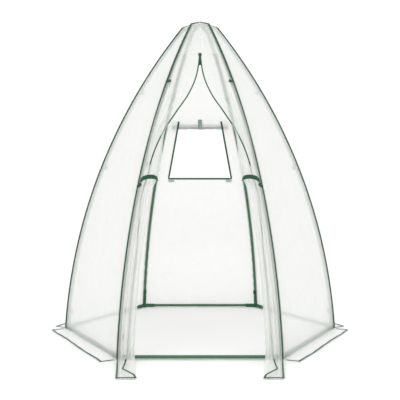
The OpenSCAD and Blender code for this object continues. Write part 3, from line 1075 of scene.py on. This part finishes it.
class GREENHOUSE_OT_zip(bpy.types.Operator):
    """The closed top of the zip and its stop patch"""

    bl_idname = "greenhouse.zip"
    bl_label = "Zip"

    def execute(self, context):
        z = np.linspace(SLIT_TOP_Z + 0.004, SLIT_TOP_Z - 0.082, 44)
        path = on_side(FRONT, wall_n(z) + 0.0012, 0 * z, z)
        lean = np.arctan(np.gradient(wall_n(z)) / np.gradient(z))
        out = turned(FRONT, np.cos(lean), 0 * z, -np.sin(lean))
        across = np.broadcast_to([1.0, 0.0, 0.0], path.shape)
        tape = sweep_arrays(path, across, out, band_profile(0.016, 0.0016))
        teeth = [studs(path + across * s * 0.0022 + out * 0.0006, across, out, 0.0058,
                       (0.0034, 0.0042, 0.0022), slant=0.0006 * s) for s in (-1, 1)]
        patch_rows = slice(0, 11)
        patch = sweep_arrays(path[patch_rows] + out[patch_rows] * 0.0012,
                             across[patch_rows], out[patch_rows], band_profile(0.022, 0.0016))
        piece = solid_piece("zip_closed_top", [tape, *teeth], MATERIALS["zip"])
        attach(piece, "frame")
        piece = solid_piece("zip_end_patch", [patch], MATERIALS["webbing"])
        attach(piece, "frame")
        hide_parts("zip_stop_patch")
        return {"FINISHED"}


# ---- rear window -------------------------------------------------------------------


def window_edge_path(out):
    """The window's sides and lower edge as one path on the rear wall, from one top
    corner down, across and up again."""
    half_trim = 0.006
    low = WINDOW_LOW_Z - half_trim
    z_side = np.linspace(WINDOW_TOP_Z, low, 30)
    x_low = WINDOW_LOW_X + half_trim
    x_base = np.linspace(-x_low, x_low, 30)[1:-1]
    x_side = window_x(z_side) + half_trim
    x = np.concatenate([-x_side, x_base, x_side[::-1]])
    z = np.concatenate([z_side, np.full(len(x_base), low), z_side[::-1]])
    return on_side(REAR, wall_n(z) + out, -x, z)


def wall_out(azimuth, z):
    """Outward direction of a wall's film at a height."""
    step = 1e-4
    lean = np.arctan((wall_n(z + step) - wall_n(z - step)) / (2 * step))
    return turned(azimuth, np.cos(lean), 0 * z, -np.sin(lean))


ROLL_CORE_R, ROLL_TURNS = 0.0065, 5.4
WINDOW_FLAP_LONG = 0.46


def roll_centre():
    """Middle of the rolled window flap, and its half length and radius."""
    low, high = np.array(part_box("window_roll"))
    return (low + high) / 2, (high[0] - low[0]) / 2, (high[2] - low[2]) / 2


def slide_way():
    """The direction in which the window flap unrolls."""
    joint = [j for j in frame["joints"] if j["name"] == "window_unroll"][0]
    return unit(np.array(joint["axis"], float))


class GREENHOUSE_OT_window(bpy.types.Operator):
    """Rear window: trim, tabs, the rolled flap, its hanging part and its tie"""

    bl_idname = "greenhouse.window"
    bl_label = "Rear window"

    def execute(self, context):
        self.trim()
        self.tabs()
        self.roll()
        self.tie()
        return {"FINISHED"}

    def trim(self):
        """Flat binding along the window's sides and lower edge, stitched twice."""
        path = window_edge_path(0.0)
        out = wall_out(REAR, path[:, 2])
        run = unit(np.gradient(path, axis=0))
        out = unit(out - run * np.sum(out * run, -1, keepdims=True))
        across = unit(np.cross(run, out))
        band = sweep_arrays(path, across, out, band_profile(0.013, 0.0076))
        rows = [studs(path + across * s * 0.0048, across, out, 0.007,
                      (0.0042, 0.0011, 0.0006), lift=0.0038) for s in (-1, 1)]
        piece = solid_piece("window_binding", [band], MATERIALS["binding"])
        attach(piece, "frame")
        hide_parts("window_trim")
        piece = solid_piece("window_stitches", rows, MATERIALS["thread"])
        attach(piece, "frame")

    def tabs(self):
        """Two corner tabs with a sine ripple, and the tape behind the tie."""
        parts = []
        for s in (-1, 1):
            x = s * (WINDOW_LOW_X - 0.014) + np.linspace(-0.0225, 0.0225, 10)
            z = np.full(10, WINDOW_LOW_Z - 0.0235)
            ripple = 0.0008 * np.sin(x * 260)
            path = on_side(REAR, wall_n(z) + 0.0022 + ripple, -x, z)
            out = wall_out(REAR, z)
            across, out = sweep_frame(path, out)
            parts.append(sweep_arrays(path, across, out, band_profile(0.019, 0.0016)))
        centre = roll_centre()[0]
        z = np.linspace(WINDOW_TOP_Z + 0.014, centre[2] - 0.024, 24)
        path = on_side(REAR, wall_n(z) - 0.0014, 0 * z, z)
        across, out = sweep_frame(path, -wall_out(REAR, z))
        parts.append(sweep_arrays(path, across, out, band_profile(0.030, 0.0014)))
        piece = solid_piece("window_corner_tabs", parts, MATERIALS["pale_tab"])
        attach(piece, "frame")
        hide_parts("window_tabs")

    def roll(self):
        """The wound flap is a spiral: its radius grows evenly with the turn, and its
        ends shift by two small sines. A short part hangs from the top seam."""
        centre, half, radius = roll_centre()
        angle = np.linspace(0, 2 * math.pi * ROLL_TURNS, 260)
        r = ROLL_CORE_R + (radius - 0.0008 - ROLL_CORE_R) * angle / angle[-1]
        x = np.linspace(-half, half, 34)
        end = 0.0009 * np.sin(x * 95) + 0.0012 * np.sin(x * 41 + 1)
        rr = r[:, None] + end[None, :] * smooth(angle / angle[-1])[:, None]
        skew = 0.25 * np.sin(x * 9)[None, :]
        turn = angle[:, None] + math.radians(150) + skew * 0.2
        y = centre[1] + rr * np.cos(turn)
        z = centre[2] + rr * np.sin(turn)
        points = np.stack([np.broadcast_to(x, y.shape), y, z], -1)
        piece = sheet_piece("window_flap_roll", points, MATERIALS["rolled_film"])
        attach(piece, "window_roll")
        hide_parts("window_roll")
        min(area_of(points), 2 * half * WINDOW_FLAP_LONG)
        hems = []
        for s in (-1, 1):
            ring = np.stack([np.full(len(angle), s * half), centre[1] + r * np.cos(turn[:, 0]),
                             centre[2] + r * np.sin(turn[:, 0])], -1)
            hems.append(tube_along(ring[::2], 0.0010, np.broadcast_to([s * 1.0, 0, 0],
                                                                     ring[::2].shape), 6))
        hem = solid_piece("window_flap_edges", hems, MATERIALS["binding"])
        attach(hem, "window_roll")
        self.hanging(centre, half, radius)

    def hanging(self, centre, half, radius):
        """Film from the top seam to the roll."""
        way = slide_way()
        top_n = float(wall_n(WINDOW_TOP_Z)) + 0.0015
        seam = np.array([0.0, AXIS_Y + top_n, WINDOW_TOP_Z + 0.006])
        out = np.array([0.0, -way[2], way[1]])
        side = centre - out * radius * 0.98
        rows = np.linspace(0, 1, 26)[:, None]
        path = seam + (side - seam) * rows
        x = np.linspace(-half, half, 30)
        points = path[:, None] + np.array([1.0, 0, 0]) * x[None, :, None]
        piece = sheet_piece("window_flap_hanging", points, MATERIALS["film"])
        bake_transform(piece)
        length = float(np.linalg.norm(side - seam))

    def tie(self):
        """Webbing over the roll: out from the wall, over the top and down in front."""
        centre, half, radius = roll_centre()
        way = slide_way()
        out = np.array([0.0, -way[2], way[1]])
        up = -way
        reach = radius + 0.0032
        angle = np.linspace(math.radians(90), 0, 20)
        corner = 0.008
        wall = np.stack([np.full(10, -reach), np.linspace(0.050, reach + corner, 10)], -1)
        turn = np.stack([corner - reach - corner * np.cos(angle[::-1]),
                         reach + corner - corner * np.sin(angle[::-1])], -1)
        top = np.stack([np.linspace(corner - reach, reach - corner, 12),
                        np.full(12, reach)], -1)
        round_ = np.stack([reach - corner + corner * np.cos(angle),
                           reach - corner + corner * np.sin(angle)], -1)
        front = np.stack([np.full(14, reach), np.linspace(reach - corner, -0.016, 14)], -1)
        line = np.concatenate([wall, turn[1:], top[1:], round_[1:], front[1:]])
        path = centre + line[:, :1] * out + line[:, 1:] * up
        path[:, 0] = 0.0
        across = np.broadcast_to([1.0, 0, 0], path.shape)
        run = unit(np.gradient(path, axis=0))
        facing = unit(np.cross(across, run))
        band = sweep_arrays(path, across, facing, band_profile(0.030, 0.0018))
        rows = [studs(path + across * s * 0.0115, across, facing, 0.006,
                      STITCH, lift=0.0009) for s in (-1, 1)]
        piece = solid_piece("window_tie_webbing", [band], MATERIALS["webbing"])
        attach(piece, "window_tie")
        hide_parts("window_tie")
        piece = solid_piece("window_tie_stitches", rows, MATERIALS["thread"])
        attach(piece, "window_tie")


# ---- ground skirts -----------------------------------------------------------------


# The side hems start this many rows from the fold, clear of the corner connectors.
HEM_START = 3


class GREENHOUSE_OT_skirts(bpy.types.Operator):
    """Ground skirts: film laid flat from the wall's foot, with a bound hem"""

    bl_idname = "greenhouse.skirts"
    bl_label = "Ground skirts"

    def execute(self, context):
        for seed, (node, azimuth) in enumerate(SKIRTS.items()):
            self.skirt(seed, node, azimuth)
        return {"FINISHED"}

    def skirt(self, seed, node, azimuth):
        """Its height is two sines along its length that grow from the fold outwards,
        and a third sine draws its outer edge in and out."""
        t = np.linspace(-SKIRT_HALF, SKIRT_HALF, 120)[None, :]
        w = np.linspace(0, SKIRT_W, 18)[:, None]
        wave = np.sin(t * 21 + seed) * 0.5 + np.sin(t * 47 + 2 * seed + w * 20) * 0.35
        lift = 0.0012 + 0.0022 * (1 + wave) * smooth(w / SKIRT_W)
        draw = 0.0025 * np.sin(t * 13 + seed) * smooth(w / SKIRT_W)
        points = on_side(azimuth, FOLD_N + w + draw - 0.0025 * (w > 0), t, lift)
        piece = sheet_piece(node + "_film", points, MATERIALS["laid_film"])
        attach(piece, node)
        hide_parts(node)
        parts = []
        edge = points[-1]
        toward = np.broadcast_to(UP, edge.shape)
        across, out = sweep_frame(edge, toward)
        inward = unit(points[-2] - points[-1])
        parts.append(sweep_arrays(edge + inward * 0.004, across, out,
                                  band_profile(0.010, 0.0024)))
        for col in (0, -1):
            side = points[HEM_START:, col]
            toward = np.broadcast_to(UP, side.shape)
            across, out = sweep_frame(side, toward)
            parts.append(sweep_arrays(side, across, out, band_profile(0.0075, 0.0022)))
        hem = solid_piece(node + "_hem", parts, MATERIALS["binding"])
        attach(hem, node)


# ---- frame finishes and stage ------------------------------------------------------


class GREENHOUSE_OT_frame_finish(bpy.types.Operator):
    """Finishes of the tubes, connectors, hub and zip parts"""

    bl_idname = "greenhouse.frame_finish"
    bl_label = "Frame finishes"

    def execute(self, context):
        props = context.scene.greenhouse_frame
        cover = context.scene.greenhouse_cover
        film = tuple(cover.film)
        MATERIALS.update({
            "tube": tube_paint(tuple(props.tube)),
            "plastic": connector_plastic(tuple(props.plastic)),
            "film": clear_film("clear_cover_film", film, cover.clear, cover.haze),
            # The gathered flap film is the wall film with a lighter colour: painted light that
            # lifts the shade among its pleats.
            "folded_film_painted_light": clear_film("gathered_film_painted_light", (0.97, 0.975, 0.96), 0.41,
                                      cover.haze, relief=0.4),
            "laid_film": clear_film("skirt_film", film, 0.82, cover.haze * 0.5, 0.03),
            "rolled_film": clear_film("rolled_cover_film", shade(film, 0.86)[:3], 0.50, 0.08),
            "binding": woven("green_binding_tape", tuple(cover.binding), 0.0016),
            "webbing": woven("green_webbing", tuple(cover.webbing), 0.0022),
            "seam": clear_film("seam_flange_film", shade(film, 0.92)[:3], 0.45, 0.08),
            "thread": plain("sewing_thread", (0.030, 0.095, 0.050), 0.6, 2000.0),
            "zip": plain("zip_tape_and_teeth", (0.022, 0.092, 0.044), 0.45, 1500.0),
            "dark_plastic": plain("toggle_plastic", (0.030, 0.045, 0.036), 0.35),
            "pale_tab": woven("pale_tab_tape", (0.33, 0.40, 0.35), 0.0016),
        })
        for node in frame["nodes"]:
            if node.startswith(("base_rail", "rib_lower", "rib_middle", "rib_upper")):
                coat_node(node, MATERIALS["tube"])
            elif node.startswith(("corner_connector", "hub_")):
                coat_node(node, MATERIALS["plastic"])
            elif node in ("zip_slider", "zip_pull"):
                coat_node(node, MATERIALS["zip"])
        return {"FINISHED"}


class GREENHOUSE_OT_stage(bpy.types.Operator):
    """Pale floor, soft studio light and the camera"""

    bl_idname = "greenhouse.stage"
    bl_label = "Stage"

    def execute(self, context):
        props = context.scene.greenhouse_stage
        size = 60.0
        corner = np.array([[-1, -1], [1, -1], [1, 1], [-1, 1]], float) * size
        points = np.column_stack([corner, np.full(4, -0.0004)])
        floor = make_piece("studio_floor", points, [[0, 1, 2, 3]], ground(tuple(props.floor)))
        camera = bpy.data.cameras.new("camera")
        camera.lens = props.lens
        camera.sensor_width = 36.0
        camera.clip_end = 200.0
        holder = bpy.data.objects.new("camera", camera)
        context.scene.collection.objects.link(holder)
        holder.location = (0.0, AXIS_Y - props.distance, props.height)
        holder.rotation_euler = (math.radians(90) - props.tilt, 0.0, 0.0)
        context.scene.camera = holder
        for name, place, size, power in (
            ("key_light", (-3.2, -3.6, 4.6), 3.2, 32.0),
            ("fill_light", (3.8, -3.2, 3.4), 3.6, 16.0),
            ("rear_light", (0.6, 4.2, 4.4), 3.4, 20.0),
        ):
            self.area_light(context, name, place, size, power)
        world = bpy.data.worlds.new("studio")
        world.use_nodes = True
        backdrop = world.node_tree.nodes["Background"]
        backdrop.inputs["Color"].default_value = (1.0, 1.0, 1.0, 1.0)
        backdrop.inputs["Strength"].default_value = 1.06
        context.scene.world = world
        context.scene.view_settings.view_transform = "Standard"
        return {"FINISHED"}

    def area_light(self, context, name, place, size, power):
        """A square soft light that faces the middle of the object."""
        light = bpy.data.lights.new(name, "AREA")
        light.size = size
        light.energy = power
        holder = bpy.data.objects.new(name, light)
        context.scene.collection.objects.link(holder)
        holder.location = place
        aim = Vector((0.0, AXIS_Y, 0.9)) - Vector(place)
        holder.rotation_euler = aim.to_track_quat("-Z", "Y").to_euler()


class GREENHOUSE_PT_panel(bpy.types.Panel):
    """Greenhouse pieces and their settings"""

    bl_label = "Greenhouse"
    bl_idname = "GREENHOUSE_PT_panel"
    bl_space_type = "VIEW_3D"
    bl_region_type = "UI"
    bl_category = "Greenhouse"

    def draw(self, context):
        for group in ("greenhouse_cover", "greenhouse_frame", "greenhouse_stage"):
            props = getattr(context.scene, group)
            box = self.layout.box()
            for name in props.bl_rna.properties.keys():
                if name not in ("rna_type", "name"):
                    box.prop(props, name)
        for step in STEPS:
            self.layout.operator(step.bl_idname)


STEPS = (
    GREENHOUSE_OT_frame_finish,
    GREENHOUSE_OT_stage,
    GREENHOUSE_OT_walls,
    GREENHOUSE_OT_piping,
    GREENHOUSE_OT_rib_ties,
    GREENHOUSE_OT_door,
    GREENHOUSE_OT_straps,
    GREENHOUSE_OT_zip,
    GREENHOUSE_OT_window,
    GREENHOUSE_OT_skirts,
)
GROUPS = {
    "greenhouse_cover": GREENHOUSE_PG_cover,
    "greenhouse_frame": GREENHOUSE_PG_frame,
    "greenhouse_stage": GREENHOUSE_PG_stage,
}


def register():
    for group in GROUPS.values():
        bpy.utils.register_class(group)
    for name, group in GROUPS.items():
        setattr(bpy.types.Scene, name, bpy.props.PointerProperty(type=group))
    for step in (*STEPS, GREENHOUSE_PT_panel):
        bpy.utils.register_class(step)


def unregister():
    for step in (GREENHOUSE_PT_panel, *reversed(STEPS)):
        bpy.utils.unregister_class(step)
    for name, group in GROUPS.items():
        delattr(bpy.types.Scene, name)
        bpy.utils.unregister_class(group)


def main():
    register()
    for step in STEPS:
        getattr(bpy.ops.greenhouse, step.bl_idname.split(".")[1])()
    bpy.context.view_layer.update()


if __name__ == "__main__":
    main()
